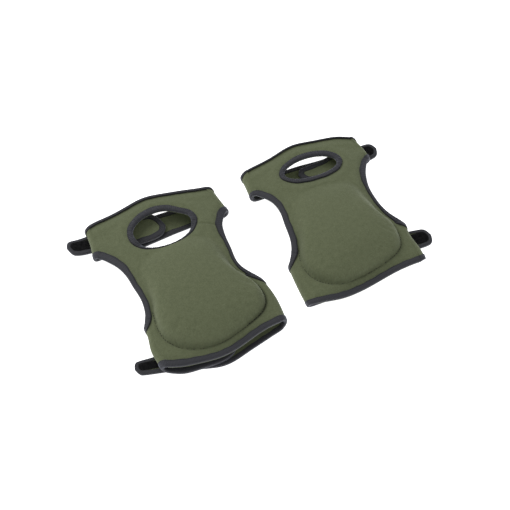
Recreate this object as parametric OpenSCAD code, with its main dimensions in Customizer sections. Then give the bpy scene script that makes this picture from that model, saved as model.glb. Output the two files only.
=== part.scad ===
// Pair of knee pads: two mirror-image neoprene sleeves with a foam knee cushion,
// lying closed and face up. Each pad has an upper and a lower wrap. A wrap is a long
// strap from the inner side and a short wing from the outer side, held by hook tape.
// Y runs up the leg, X across the pair, Z up from the table through the knee face.

/* [Pair] */
// middle of one pad to middle of the other (mm)
pad_spacing = 204; // [190:1:300]
// how far each pad is turned so that their lower ends are closer (degrees)
toe_in = 2.4; // [0:0.1:4]
// how much further down the table the left pad lies than the right pad (mm)
stagger = 4.6; // [0:0.1:8]
// which piece to draw

/* [Sleeve size] */
// front panel from bottom edge to top edge, along the middle (mm)
pad_length = 242; // [190:1:300]
// closed sleeve across the upper folds (mm)
upper_width = 176; // [150:1:200]
// closed sleeve across the lower folds (mm)
lower_width = 162; // [145:1:190]
// narrowest width between the side cut-outs (mm)
waist_width = 125; // [100:1:140]
// how far the top and bottom edges bow out at the middle (mm)
edge_bow = 11; // [4:1:20]
// height of the upper band at its folds (mm)
upper_band = 42; // [30:1:55]
// height of the lower band at its folds (mm)
lower_band = 57; // [40:1:70]

/* [Sheet and tape] */
// neoprene sheet thickness (mm)
sheet = 3.4; // [2.5:0.1:4]
// binding tape thickness (mm)
tape = 0.7; // [0.4:0.1:1]
// width of binding tape on each face of the front panel (mm)
tape_width = 8; // [5:0.5:10]
// width of binding tape on each face of a strap or wing (mm)
strap_tape_width = 6; // [4:0.5:8]
// hook tape thickness (mm)
hook = 1.1; // [0.8:0.1:1.5]

/* [Arch and cushion] */
// top of the front sheet above the table (mm)
arch_height = 32; // [30:0.5:40]
// radius of the front sheet across the leg (mm)
arch_radius = 300; // [270:5:340]
// how far the cushion stands above the front sheet (mm)
cushion_rise = 12; // [8:1:20]
// cushion width at its widest (mm)
cushion_width = 132; // [110:1:138]
// soft inner foam thickness (mm)
comfort_thickness = 4; // [2:0.5:4.5]
// lining thickness (mm)
lining_thickness = 1; // [0.6:0.1:1.4]

/* [Knee opening] */
// opening across, to the outside of its binding (mm)
opening_width = 88; // [60:1:96]
// opening along the leg, to the outside of its binding (mm)
opening_height = 54; // [36:1:58]

// middle of the opening below the corners of the top edge (mm)
opening_drop = 39; // [36:1:46]

/* [Straps] */
// upper straps from the middle of the pad to their tips (mm)
upper_reach = 116; // [100:1:125]
// lower straps from the middle of the pad to their tips (mm)
lower_reach = 108; // [100:1:120]
// upper short wing past the middle of the pad (mm)
wing_reach = 9; // [0:1:25]
// tab width at the free end of a long strap (mm)
tab_width = 25; // [22:1:34]
// middle of the left upper tab, along the leg (mm)
left_tab = 100; // [80:1:100]
// middle of the right upper tab, along the leg (mm)
right_tab = 88; // [80:1:100]
// where the hook tape starts, from the middle of the pad (mm)
patch_start = 78; // [68:1:85]
// how far the left lower wrap dips below its folds (mm)
left_dip = 19; // [0:1:22]
// how far the right lower wrap dips below its folds (mm)
right_dip = 1; // [0:1:22]

/* [Hidden] */
$fn = 96;
green = [0.36, 0.41, 0.28];
charcoal = [0.22, 0.22, 0.26];
black = [0.07, 0.07, 0.08];
foam_grey = [0.30, 0.31, 0.33];
foam_white = [0.86, 0.85, 0.80];
// gap left at every hinge cut and between the layers of a wrap
air = 0.3;
uw = upper_width / 2;
lw = lower_width / 2;
corner = pad_length / 2 - edge_bow;
upper_low = corner - upper_band;
lower_high = -corner + lower_band;
waist = waist_width / 2;
// underside of the strap sheet and of the wing sheet above the table
strap_z = tape;
wing_z = strap_z + sheet + max(tape, hook) + air + tape;
arch_low = arch_height - arch_radius;
// heights of the curves that bound the solids, all far above or below them
low = -10;
high = 90;
span = corner + 50;
// sheets are drawn this far past the middle before their outline trims them
far = max(upper_reach, lower_reach) + 12;
// cushion proportions
cw = cushion_width / 2;
cushion_mid = -33;
opening_mid = corner - opening_drop;
stitch_top = cushion_mid - 9;
core_gap = 0.5;
core_radius = arch_radius - sheet - core_gap;
// how far each pad lies up the table, so that the pair is centred
drop = max(max(edge_bow, left_dip) + stagger / 2, max(edge_bow, right_dip) - stagger / 2);
shift_y = (drop - edge_bow - stagger / 2) / 2;
left_y = shift_y - stagger / 2;
right_y = shift_y + stagger / 2;

// radius of a fold that runs from the arch down to a sheet whose underside is at zb
function fold_r(w, zb) = let (k = arch_radius - arch_height + zb,
  b = 2 * k + 2 * arch_radius - 2 * w,
  c = w * w + k * k - arch_radius * arch_radius) (sqrt(b * b - 4 * c) - b) / 2;
// height of a hinge line
function hinge_z(w, zb) = zb + fold_r(w, zb);
// smooth curve through points
function bend(a, b, c, d, t) = 0.5 * (2 * b + (c - a) * t
  + (2 * a - 5 * b + 4 * c - d) * t * t + (3 * b - a - 3 * c + d) * t * t * t);
function smooth(p, n) = [for (i = [0:len(p) - 2]) for (k = [0:n - 1])
  bend(p[max(i - 1, 0)], p[i], p[i + 1], p[min(i + 2, len(p) - 1)], k / n), p[len(p) - 1]];
function reversed(p) = [for (i = [len(p) - 1:-1:0]) p[i]];
// curve moved sideways to the right of its own direction
function shifted(c, d) = [for (i = [0:len(c) - 1])
  let (v = c[min(i + 1, len(c) - 1)] - c[max(i - 1, 0)], u = v / norm(v))
  c[i] + d * [u[1], -u[0]]];
function ring_zone(c, width) = concat(shifted(c, -tape), reversed(shifted(c, width)));

// edges of the front panel, drawn for the outer side
top_edge = [for (x = [-100:10:100]) [x, corner + edge_bow * (1 - pow(x / uw, 2))]];
bottom_edge = [for (x = [100:-10:-100]) [x, -corner - edge_bow * (1 - pow(x / lw, 2))]];
side_edge = smooth([[uw + 12, upper_low], [uw + 2, upper_low - 0.5], [uw - 7, upper_low - 6],
  [uw - 14, upper_low - 17], [waist + 5.5, upper_low - 30], [waist + 1.3, 20], [waist, 2],
  [waist, -12], [waist + 2, -24], [waist + 6.5, lower_high + 17],
  [lw - 6, lower_high + 7.5], [lw + 1, lower_high + 1], [lw + 12, lower_high]], 3);
other_edge = [for (p = side_edge) [-p[0], p[1]]];
front_outline = concat([[-uw - 12, corner - 10]], top_edge, side_edge, bottom_edge,
  reversed(other_edge));

// cushion outline, scaled about its middle
cushion_side = [[0, 39], [22, 37.5], [38, 33], [48, 24], [52.5, 10], [53.5, -6],
  [54.5, -20], [58, -34], [63, -46], [66, -58], [65.5, -72], [60, -86], [49, -97],
  [33, -103.5], [16, -106], [0, -106.5]];
cushion_loop = concat(cushion_side, [for (i = [len(cushion_side) - 2:-1:1])
  [-cushion_side[i][0], cushion_side[i][1]]]);
function cushion_outline(k) = [for (p = cushion_loop)
  [p[0] * k * cw / 66, cushion_mid + (p[1] - cushion_mid) * k * pad_length / 242]];
mean_half = 56;
inner_scale = 1 - sheet / mean_half;
// crown curves of the cushion, across and along the leg
crown = arch_height + cushion_rise;
across_sag = cushion_rise + arch_radius - sqrt(arch_radius * arch_radius - cw * cw);
across_r = (cw * cw + across_sag * across_sag) / (2 * across_sag);
along_half = 73 * pad_length / 242;
crown_end = 2;
along_sag = cushion_rise - crown_end;
along_r = (along_half * along_half + along_sag * along_sag) / (2 * along_sag);

// opening outline as a flattened oval, a and b are its half sizes
function oval(a, b) = [for (i = [0:10:350])
  [a * sign(cos(i)) * pow(abs(cos(i)), 0.9), opening_mid + b * sign(sin(i))
    * pow(abs(sin(i)), 0.95)]];

// wraps, drawn for the pad whose outer side is at +x
function wrap_low(x, dip) = -corner - dip * (1 - pow(x / (lw + 6), 2));
function upper_strap_edge(m) = let (h = tab_width / 2)
  smooth([[-uw - 12, corner], [-uw, corner], [-50, corner - 4], [-20, corner - 9],
  [15, corner - 11.5], [45, corner - 11.5], [75, m + h], [upper_reach - h, m + h],
  [upper_reach - h * 0.3, m + h * 0.74], [upper_reach, m],
  [upper_reach - h * 0.3, m - h * 0.74], [upper_reach - h, m - h], [75, m - 2 - h],
  [45, upper_low - 4], [15, upper_low - 4.5], [-20, upper_low - 3],
  [-50, upper_low - 0.5], [-uw, upper_low], [-uw - 12, upper_low]], 3);
upper_wing_edge = smooth([[uw + 12, upper_low], [uw, upper_low], [60, upper_low - 1],
  [30, upper_low - 3], [8, 64.5], [-wing_reach + 5, 69.5], [-wing_reach, 81.5],
  [-wing_reach + 5, 93.5], [8, 98.5], [30, corner - 9], [60, corner - 4], [uw, corner],
  [uw + 12, corner]], 3);
// the tab of a lower strap sits higher when the wrap dips less
function tab_mid(dip) = lower_high - 16 - dip * 1.35;
function lower_strap_edge(dip) = let (m = tab_mid(dip), h = tab_width / 2)
  smooth([[-lw - 12, lower_high], [-lw, lower_high], [-50, lower_high - 4 - dip * 0.4],
  [-10, lower_high - 9 - dip * 0.7], [30, lower_high - 10 - dip * 0.8], [65, m + h + 2],
  [lower_reach - h, m + h], [lower_reach - h * 0.3, m + h * 0.74], [lower_reach, m],
  [lower_reach - h * 0.3, m - h * 0.74], [lower_reach - h, m - h],
  [65, m - h - 4 - dip * 0.1],
  [40, (wrap_low(40, dip) * 2 + m - h) / 3], [10, wrap_low(10, dip)],
  [-20, wrap_low(-20, dip)], [-50, wrap_low(-50, dip)], [-lw, -corner],
  [-lw - 12, -corner]], 3);
function lower_wing_edge(dip) = smooth([[lw + 12, -corner], [lw, -corner],
  [55, wrap_low(55, dip) + 1], [20, wrap_low(20, dip) + 3], [0, wrap_low(0, dip) + 5],
  [-11, wrap_low(-11, dip) + 13], [-14, lower_high - 29 - dip * 0.8],
  [-9, lower_high - 17 - dip * 0.7], [4, lower_high - 11 - dip * 0.6],
  [25, lower_high - 8 - dip * 0.5], [55, lower_high - 4 - dip * 0.3], [lw, lower_high],
  [lw + 12, lower_high]], 3);

// a drawing in X and Z run along the leg from y0 to y1
module along(y0, y1) {
  translate([0, y1, 0])
    rotate([90, 0, 0])
      linear_extrude(height = y1 - y0)
        children();
}
// an outline in X and Y run straight up
module prism(points) {
  translate([0, 0, low])
    linear_extrude(height = high - low)
      polygon(points);
}
// ring of the arch circle between two radii
module arch_ring(outer, inner) {
  translate([0, arch_low])
    difference() {
      circle(r = outer, $fn = 360);
      circle(r = inner, $fn = 360);
    }
}
// everything below a circle of the arch family
module under_arch(r) {
  along(-span, span)
    translate([0, arch_low])
      circle(r = r, $fn = 360);
}
// slice of the arch disc between the two folds
module arch_slice(a, b, r) {
  intersection() {
    translate([0, arch_low])
      circle(r = r, $fn = 360);
    translate([0, arch_low])
      polygon([[0, 0], b * (arch_radius + 60), a * (arch_radius + 60)]);
  }
}
// arch and the upper halves of both folds, thickened on both faces by grow
module front_section(w, grow) {
  ri = fold_r(w, strap_z);
  ro = fold_r(w, wing_z);
  ci = [ri - w, hinge_z(w, strap_z)];
  co = [w - ro, hinge_z(w, wing_z)];
  ui = (ci - [0, arch_low]) / (arch_radius - ri);
  uo = (co - [0, arch_low]) / (arch_radius - ro);
  difference() {
    union() {
      arch_slice(ui, uo, arch_radius + grow);
      translate(ci)
        circle(r = ri + grow);
      translate(co)
        circle(r = ro + grow);
    }
    arch_slice(ui, uo, arch_radius - sheet - grow);
    translate(ci)
      circle(r = ri - sheet - grow);
    translate(co)
      circle(r = ro - sheet - grow);
    translate([-span, ci[1] + air / 2 - high])
      square([span, high]);
    translate([0, co[1] + air / 2 - high])
      square([span, high]);
  }
}
// lower half of a fold and the flat sheet that runs from it to x = reach
module wrap_section(w, zb, grow, side, reach) {
  r = fold_r(w, zb);
  c = [side * (w - r), zb + r];
  left_end = min(c[0], reach);
  flat = abs(reach - c[0]);
  difference() {
    union() {
      translate(c)
        circle(r = r + grow);
      translate([left_end, zb - grow])
        square([flat, r + grow]);
    }
    translate(c)
      circle(r = r - sheet - grow);
    translate([left_end, zb + sheet + grow])
      square([flat, high]);
    translate([-span, c[1] - air / 2])
      square([2 * span, high]);
  }
}
module front_solid(grow) {
  along(0, span)
    front_section(uw, grow);
  along(-span, 0)
    front_section(lw, grow);
}
// space under the cushion crown, shrunk by skin
module crown_space(k, skin) {
  intersection() {
    prism(cushion_outline(k));
    along(-span, span)
      translate([0, crown - across_r])
        circle(r = across_r - skin, $fn = 240);
    rotate([90, 0, 90])
      linear_extrude(height = 2 * span, center = true)
        translate([cushion_mid, crown - along_r])
          circle(r = along_r - skin, $fn = 360);
  }
}

module front_shell() {
  difference() {
    union() {
      intersection() {
        front_solid(0);
        prism(front_outline);
      }
      difference() {
        crown_space(1, 0);
        under_arch(arch_radius - sheet);
      }
    }
    crown_space(inner_scale, sheet);
    prism(oval(opening_width / 2 - tape_width, opening_height / 2 - tape_width));
  }
}
module foam_core() {
  difference() {
    crown_space(inner_scale, sheet);
    under_arch(core_radius);
  }
}
module comfort_foam() {
  intersection() {
    along(-span, span)
      arch_ring(core_radius, core_radius - comfort_thickness);
    prism(cushion_outline(inner_scale));
  }
}
module knee_lining() {
  difference() {
    intersection() {
      along(-span, span)
        arch_ring(arch_radius - sheet, core_radius - comfort_thickness - lining_thickness);
      prism(cushion_outline(1));
    }
    intersection() {
      along(-span, span)
        arch_ring(arch_radius, core_radius - comfort_thickness);
      prism(cushion_outline(inner_scale));
    }
  }
}
module cushion_stitching() {
  intersection() {
    along(-span, span)
      arch_ring(arch_radius + 0.5, arch_radius);
    difference() {
      prism(cushion_outline(1.018));
      prism(cushion_outline(1));
      translate([0, span + stitch_top, 0])
        cube([2 * span, 2 * span, 4 * high], center = true);
    }
  }
}
// binding on an edge of the front: thickened sheet cut to the band zone, less the sheet
module edge_binding(edge) {
  difference() {
    intersection() {
      front_solid(tape);
      prism(ring_zone(edge, tape_width));
    }
    intersection() {
      front_solid(0);
      prism(front_outline);
    }
  }
}
module opening_binding() {
  a = opening_width / 2;
  b = opening_height / 2;
  intersection() {
    difference() {
      along(0, span)
        arch_ring(arch_radius + tape, arch_radius - sheet - tape);
      intersection() {
        along(0, span)
          arch_ring(arch_radius, arch_radius - sheet);
        difference() {
          prism(oval(a + 20, b + 20));
          prism(oval(a - tape_width, b - tape_width));
        }
      }
    }
    difference() {
      prism(oval(a, b));
      prism(oval(a - tape_width - tape, b - tape_width - tape));
    }
  }
}
module wrap_sheet(outline, w, zb, side, reach) {
  intersection() {
    along(-span, span)
      wrap_section(w, zb, 0, side, reach);
    prism(outline);
  }
}
module wrap_binding(outline, w, zb, side, reach) {
  difference() {
    intersection() {
      along(-span, span)
        wrap_section(w, zb, tape, side, reach);
      prism(ring_zone(outline, strap_tape_width));
    }
    wrap_sheet(outline, w, zb, side, reach);
  }
}
// hook tape on the upper face of a tab, x0 to its round end at x1, middle line at y
module hook_patch(x0, x1, y) {
  half = tab_width / 2 - strap_tape_width - 0.5;
  translate([0, y, strap_z + sheet])
    linear_extrude(height = hook) {
      translate([x0, -half])
        square([x1 - half - x0, 2 * half]);
      translate([x1 - half, 0])
        circle(r = half, $fn = 48);
    }
}
module upper_strap(tab) {
  wrap_sheet(upper_strap_edge(tab), uw, strap_z, -1, far);
}
module upper_strap_binding(tab) {
  wrap_binding(upper_strap_edge(tab), uw, strap_z, -1, far);
}
module upper_hook_patch(tab) {
  hook_patch(patch_start, upper_reach - strap_tape_width - 0.5, tab);
}
module upper_wing() {
  wrap_sheet(upper_wing_edge, uw, wing_z, 1, -far);
}
module upper_wing_binding() {
  wrap_binding(upper_wing_edge, uw, wing_z, 1, -far);
}
module lower_strap(dip) {
  wrap_sheet(lower_strap_edge(dip), lw, strap_z, -1, far);
}
module lower_strap_binding(dip) {
  wrap_binding(lower_strap_edge(dip), lw, strap_z, -1, far);
}
module lower_hook_patch(dip) {
  hook_patch(patch_start, lower_reach - strap_tape_width - 0.5, tab_mid(dip));
}
module lower_wing(dip) {
  wrap_sheet(lower_wing_edge(dip), lw, wing_z, 1, -far);
}
module lower_wing_binding(dip) {
  wrap_binding(lower_wing_edge(dip), lw, wing_z, 1, -far);
}

// puts a piece drawn for the pad whose outer side is +x onto the right or left pad
module right() {
  translate([pad_spacing / 2, right_y, 0])
    rotate([0, 0, -toe_in])
      children();
}
module left() {
  mirror([1, 0, 0])
    translate([pad_spacing / 2, left_y, 0])
      rotate([0, 0, -toe_in])
        children();
}

module left_front_shell() {
  left()
    color(green)
      front_shell();
}
module left_foam_core() {
  left()
    color(foam_grey)
      foam_core();
}
module left_comfort_foam() {
  left()
    color(foam_white)
      comfort_foam();
}
module left_knee_lining() {
  left()
    color(green)
      knee_lining();
}
module left_cushion_stitching() {
  left()
    color(black)
      cushion_stitching();
}
module left_opening_binding() {
  left()
    color(charcoal)
      opening_binding();
}
module left_top_binding() {
  left()
    color(charcoal)
      edge_binding(top_edge);
}
module left_bottom_binding() {
  left()
    color(charcoal)
      edge_binding(bottom_edge);
}
module left_outer_side_binding() {
  left()
    color(charcoal)
      edge_binding(side_edge);
}
module left_inner_side_binding() {
  left()
    color(charcoal)
      edge_binding(reversed(other_edge));
}
module left_upper_strap() {
  left()
    color(green)
      upper_strap(left_tab);
}
module left_upper_strap_binding() {
  left()
    color(charcoal)
      upper_strap_binding(left_tab);
}
module left_upper_hook_patch() {
  left()
    color(black)
      upper_hook_patch(left_tab);
}
module left_upper_wing() {
  left()
    color(green)
      upper_wing();
}
module left_upper_wing_binding() {
  left()
    color(charcoal)
      upper_wing_binding();
}
module left_lower_strap() {
  left()
    color(green)
      lower_strap(left_dip);
}
module left_lower_strap_binding() {
  left()
    color(charcoal)
      lower_strap_binding(left_dip);
}
module left_lower_hook_patch() {
  left()
    color(black)
      lower_hook_patch(left_dip);
}
module left_lower_wing() {
  left()
    color(green)
      lower_wing(left_dip);
}
module left_lower_wing_binding() {
  left()
    color(charcoal)
      lower_wing_binding(left_dip);
}

module right_front_shell() {
  right()
    color(green)
      front_shell();
}
module right_foam_core() {
  right()
    color(foam_grey)
      foam_core();
}
module right_comfort_foam() {
  right()
    color(foam_white)
      comfort_foam();
}
module right_knee_lining() {
  right()
    color(green)
      knee_lining();
}
module right_cushion_stitching() {
  right()
    color(black)
      cushion_stitching();
}
module right_opening_binding() {
  right()
    color(charcoal)
      opening_binding();
}
module right_top_binding() {
  right()
    color(charcoal)
      edge_binding(top_edge);
}
module right_bottom_binding() {
  right()
    color(charcoal)
      edge_binding(bottom_edge);
}
module right_outer_side_binding() {
  right()
    color(charcoal)
      edge_binding(side_edge);
}
module right_inner_side_binding() {
  right()
    color(charcoal)
      edge_binding(reversed(other_edge));
}
module right_upper_strap() {
  right()
    color(green)
      upper_strap(right_tab);
}
module right_upper_strap_binding() {
  right()
    color(charcoal)
      upper_strap_binding(right_tab);
}
module right_upper_hook_patch() {
  right()
    color(black)
      upper_hook_patch(right_tab);
}
module right_upper_wing() {
  right()
    color(green)
      upper_wing();
}
module right_upper_wing_binding() {
  right()
    color(charcoal)
      upper_wing_binding();
}
module right_lower_strap() {
  right()
    color(green)
      lower_strap(right_dip);
}
module right_lower_strap_binding() {
  right()
    color(charcoal)
      lower_strap_binding(right_dip);
}
module right_lower_hook_patch() {
  right()
    color(black)
      lower_hook_patch(right_dip);
}
module right_lower_wing() {
  right()
    color(green)
      lower_wing(right_dip);
}
module right_lower_wing_binding() {
  right()
    color(charcoal)
      lower_wing_binding(right_dip);
}

left_front_shell();
left_foam_core();
left_comfort_foam();
left_knee_lining();
left_cushion_stitching();
left_opening_binding();
left_top_binding();
left_bottom_binding();
left_outer_side_binding();
left_inner_side_binding();
left_upper_strap();
left_upper_strap_binding();
left_upper_hook_patch();
left_upper_wing();
left_upper_wing_binding();
left_lower_strap();
left_lower_strap_binding();
left_lower_hook_patch();
left_lower_wing();
left_lower_wing_binding();
right_front_shell();
right_foam_core();
right_comfort_foam();
right_knee_lining();
right_cushion_stitching();
right_opening_binding();
right_top_binding();
right_bottom_binding();
right_outer_side_binding();
right_inner_side_binding();
right_upper_strap();
right_upper_strap_binding();
right_upper_hook_patch();
right_upper_wing();
right_upper_wing_binding();
right_lower_strap();
right_lower_strap_binding();
right_lower_hook_patch();
right_lower_wing();
right_lower_wing_binding();
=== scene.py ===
import math

import bmesh
import bpy
import numpy as np
from mathutils import Matrix, Vector


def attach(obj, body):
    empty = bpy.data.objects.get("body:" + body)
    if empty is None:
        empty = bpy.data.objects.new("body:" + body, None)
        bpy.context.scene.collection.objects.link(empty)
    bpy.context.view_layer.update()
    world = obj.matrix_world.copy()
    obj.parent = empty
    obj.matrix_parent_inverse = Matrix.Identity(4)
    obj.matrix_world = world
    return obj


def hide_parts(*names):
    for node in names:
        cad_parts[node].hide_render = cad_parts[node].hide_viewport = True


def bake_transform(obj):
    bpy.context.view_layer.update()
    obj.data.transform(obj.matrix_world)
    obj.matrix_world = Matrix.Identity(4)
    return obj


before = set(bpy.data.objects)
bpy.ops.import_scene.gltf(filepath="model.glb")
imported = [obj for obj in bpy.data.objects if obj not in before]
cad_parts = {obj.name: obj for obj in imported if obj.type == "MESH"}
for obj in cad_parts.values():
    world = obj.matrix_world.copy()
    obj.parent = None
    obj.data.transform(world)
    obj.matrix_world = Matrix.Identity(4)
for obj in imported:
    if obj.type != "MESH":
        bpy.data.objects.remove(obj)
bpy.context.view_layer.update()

# --- Camera -------------------------------------------------------------------
# A product shot from 55 degrees above and 24 degrees to the left of the pair, with
# a moderately long lens.
camera_turn, camera_rise, camera_distance = math.radians(-24.4), math.radians(54.99), 1.301
looks_at = Vector((-0.0080, -0.0010, 0.0))
backward = Vector((math.sin(camera_turn) * math.cos(camera_rise),
                   -math.cos(camera_turn) * math.cos(camera_rise), math.sin(camera_rise)))
rightward = Vector((math.cos(camera_turn), math.sin(camera_turn), 0))
upward = backward.cross(rightward)
camera = bpy.data.objects.new("camera", bpy.data.cameras.new("camera"))
camera.data.lens = 72.33
camera.data.sensor_width = 36
camera.data.clip_end = 20
camera.matrix_world = (Matrix.Translation(looks_at + backward * camera_distance)
                       @ Matrix((rightward, upward, backward)).transposed().to_4x4())
bpy.context.scene.collection.objects.link(camera)
bpy.context.scene.camera = camera


# --- Studio -------------------------------------------------------------------
# A white sweep lit by a pale dome, with one large soft light behind and to the
# left, and a weaker one in front, so that shadows almost vanish.
class Shade:
    """A shader value. Adding to it or multiplying it makes the Math node for that."""

    def __init__(self, finish, socket):
        self.finish, self.socket = finish, socket

    def __add__(self, other):
        return self.finish.node("Math", {"operation": "ADD"}, {0: self, 1: other})

    def __mul__(self, other):
        return self.finish.node("Math", {"operation": "MULTIPLY"}, {0: self, 1: other})


class Finish:
    """A material made of nodes. node() takes the type, its settings, then its sockets."""

    def __init__(self, name):
        self.material = bpy.data.materials.new(name)
        self.material.use_nodes = True
        self.tree = self.material.node_tree
        self.tree.nodes.clear()

    def node(self, kind, settings=None, sockets=None, out=0):
        made = self.tree.nodes.new("ShaderNode" + kind)
        for key, value in (settings or {}).items():
            if key == "stops":
                ramp = made.color_ramp.elements
                ramp[0].position, ramp[0].color = value[0]
                ramp[1].position, ramp[1].color = value[-1]
                for place, colour in value[1:-1]:
                    ramp.new(place).color = colour
            else:
                setattr(made, key, value)
        for key, value in (sockets or {}).items():
            if isinstance(value, Shade):
                self.tree.links.new(value.socket, made.inputs[key])
            else:
                made.inputs[key].default_value = value
        return Shade(self, made.outputs[out])

    def blend(self, share, first, second, how="MIX"):
        """One colour over another by a share from 0 to 1."""
        return self.node("Mix", {"data_type": "RGBA", "blend_type": how, "clamp_factor": True},
                         {0: share, 6: first, 7: second}, out=2)

    def shine(self, colour, normal=None, **sockets):
        """The cloth or plastic surface itself, and the material's output."""
        values = {key.replace("_", " "): value for key, value in sockets.items()}
        values["Base Color"] = colour
        if normal is not None:
            values["Normal"] = normal
        surface = self.node("BsdfPrincipled", {}, values)
        end = self.tree.nodes.new("ShaderNodeOutputMaterial")
        self.tree.links.new(surface.socket, end.inputs["Surface"])


bpy.context.scene.view_settings.view_transform = "Standard"
sweep_paint = Finish("white_sweep")
sweep_grain = sweep_paint.node("TexNoise", {}, {"Scale": 3.0, "Detail": 2.0})
sweep_paint.shine(sweep_paint.blend(sweep_grain, (0.90, 0.90, 0.90, 1), (0.93, 0.93, 0.93, 1)),
                  Roughness=0.95, Specular_IOR_Level=0.0, Emission_Color=(1, 1, 1, 1),
                  Emission_Strength=1.0)
bpy.ops.mesh.primitive_plane_add(size=12, location=(0, 0, -0.0004))
floor = bpy.context.object
floor.name = "floor"
floor.data.materials.append(sweep_paint.material)

dome = bpy.data.worlds.new("dome")
dome.use_nodes = True
dome.node_tree.nodes["Background"].inputs["Color"].default_value = (0.97, 0.98, 1.0, 1)
dome.node_tree.nodes["Background"].inputs["Strength"].default_value = 0.52
bpy.context.scene.world = dome


def soft_light(name, place, size, power):
    lamp = bpy.data.lights.new(name, "AREA")
    lamp.shape, lamp.size, lamp.energy = "SQUARE", size, power
    held = bpy.data.objects.new(name, lamp)
    held.location = place
    held.rotation_euler = (-Vector(place)).to_track_quat("-Z", "Y").to_euler()
    bpy.context.scene.collection.objects.link(held)


soft_light("back_light", (-0.9, 1.5, 1.9), 1.8, 42)
soft_light("front_light", (0.5, -1.6, 1.9), 1.6, 8)

# --- Front covers -------------------------------------------------------------
# Each pad's face is one stretch sheet of green jersey on 3.4 mm neoprene. It
# arches over the leg, swells over the sewn-in foam cushion, and runs on round
# both sides into the wraps. Sizes are in millimetres, for a pad whose outer side
# is +x; the left pad is its mirror image.
pad_middle, toe_in = 102.0, math.radians(2.4)
upper_half, lower_half = 88.0, 81.0
corner = 110.0
strap_bed, wing_bed = 0.7, 6.2
sheet_thick = 3.4
arch_radius, arch_top = 300.0, 32.0
front_tape = 8.0
# Each pad lies a little differently. An opening is its centre and half sizes. A tab
# has its place along the leg, half its height and its reach, upper wrap first. Tape
# widths at the waist are outer, then inner. A pull is where cloth is drawn, how far
# it moves, and how wide the pull spreads. The groove's sewing skips at its gap.
pads = {
    "left": {"turn": -1, "shift": 1.7, "dip": 19.0, "low_bow": 13.5, "low_sag": 6.0, "lip": 0.0,
             "rim_drop": 10.0, "opening": (-0.5, 68.3, 45.5, 32.6), "ring": 6.6, "low_tape": 7.6,
             "tab": (97.5, -97.3), "tab_half": (11.0, 9.4), "tab_reach": (115.8, 107.0),
             "strap_rise": (2.0, 4.0), "wing_rise": (6.0, 4.0), "top_tape": 4.2,
             "waist_tape": (6.2, 4.2), "deep_side": -1, "phase": 0.6, "groove_gap": (6.0, 26.0),
             "pulls": [(40, 118, 0, 2, 40), (78, 112, 0, 3, 18), (2, 120, 0, 5.2, 26),
                       (-75, 112, 1, -5.8, 34), (64, 5, 4.6, 0, 35), (88, 64, 5.5, 1, 22),
                       (70, 42, 2, -1, 20), (80, -60, -4, 0, 30), (-90, 62, -2.8, -4.4, 25),
                       (-66, 22, -1.8, 0, 22), (-68, -28, 3, 0, 24), (-81, -95, -0.8, -5, 38),
                       (8, -102, 0, -7.5, 42), (-60, -76, -4.5, -2.5, 26), (80, -84, 3.2, 0, 18),
                       (-30, -130, 0, 1.5, 34), (62, -120, 0, -3.4, 24), (-66, -4, -1.6, 0, 18),
                       (-82, -114, 1.5, -4, 20), (-34, 88, 1.5, -3.5, 14), (122, 99, 0, 11, 26),
                       (112, -98, 0, 6, 26)]},
    "right": {"turn": 1, "shift": 6.3, "dip": 1.0, "low_bow": 6.5, "low_sag": 9.5, "lip": 5.0,
              "rim_drop": 0.0, "opening": (3.4, 74.0, 44.5, 25.6), "ring": 6.4, "low_tape": 6.6,
              "tab": (89.2, -70.3), "tab_half": (13.6, 13.3), "tab_reach": (109.5, 110.5),
              "strap_rise": (-1.2, 0.0), "wing_rise": (-8.5, 0.0), "top_tape": 3.0,
              "waist_tape": (4.6, 7.2), "deep_side": 1, "phase": 2.3, "groove_gap": (-14.0, 6.0),
              "pulls": [(-85, 100, 4.5, -6.5, 34), (-88, 64, 0.5, 1, 22), (-70, 36, 5, 2, 32),
                       (-64, -10, -2.5, 0, 28), (-81, -85, -1.5, -1, 30), (40, -117, 0, 9.2, 50),
                       (-81, -108, -0.5, -2, 24), (-45, -120, 0, -2.5, 26), (80, -50, 3, 0, 20),
                       (68, -66, -3.5, 0, 24), (82, -92, 2, 0, 20), (60, 12, -2, 0, 26),
                       (86, 110, -4, -4, 20), (72, 78, 2, -3, 16), (-45, 117, 0, -5.2, 28),
                       (0, 120, 0, 2.5, 22)]},
}
top_bow, top_fall, low_fall = 9.5, 7.5, 7.2
side_low, side_high = -53.0, 68.0


def eased(t):
    t = np.clip(t, 0, 1)
    return t * t * (3 - 2 * t)


def between(first, last, t):
    """From one value to another, leaving and arriving gently."""
    return first + (last - first) * eased(t)


def unit(ways):
    return ways / np.linalg.norm(ways, axis=-1, keepdims=True)


def drawn(points, steps=8):
    """A smooth curve through drawn points."""
    p = np.array(points, float)
    t = np.linspace(0, 1, steps, endpoint=False)[:, None]
    runs = []
    for i in range(len(p) - 1):
        a, b, c, d = p[max(i - 1, 0)], p[i], p[i + 1], p[min(i + 2, len(p) - 1)]
        runs.append(0.5 * (2 * b + (c - a) * t + (2 * a - 5 * b + 4 * c - d) * t ** 2
                           + (3 * b - a - 3 * c + d) * t ** 3))
    return np.vstack(runs + [p[-1:]])


def spaced(line, step, closed=False):
    """A line resampled to even steps, and the run along it at each new point."""
    if closed:
        line = np.vstack([line, line[:1]])
    run = np.r_[0, np.cumsum(np.linalg.norm(np.diff(line, axis=0), axis=1))]
    count = max(3, int(round(run[-1] / step)))
    at = np.linspace(0, run[-1], count + 1)
    at = at[:-1] if closed else at
    return np.stack([np.interp(at, run, line[:, k]) for k in range(line.shape[1])], 1), at


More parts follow.
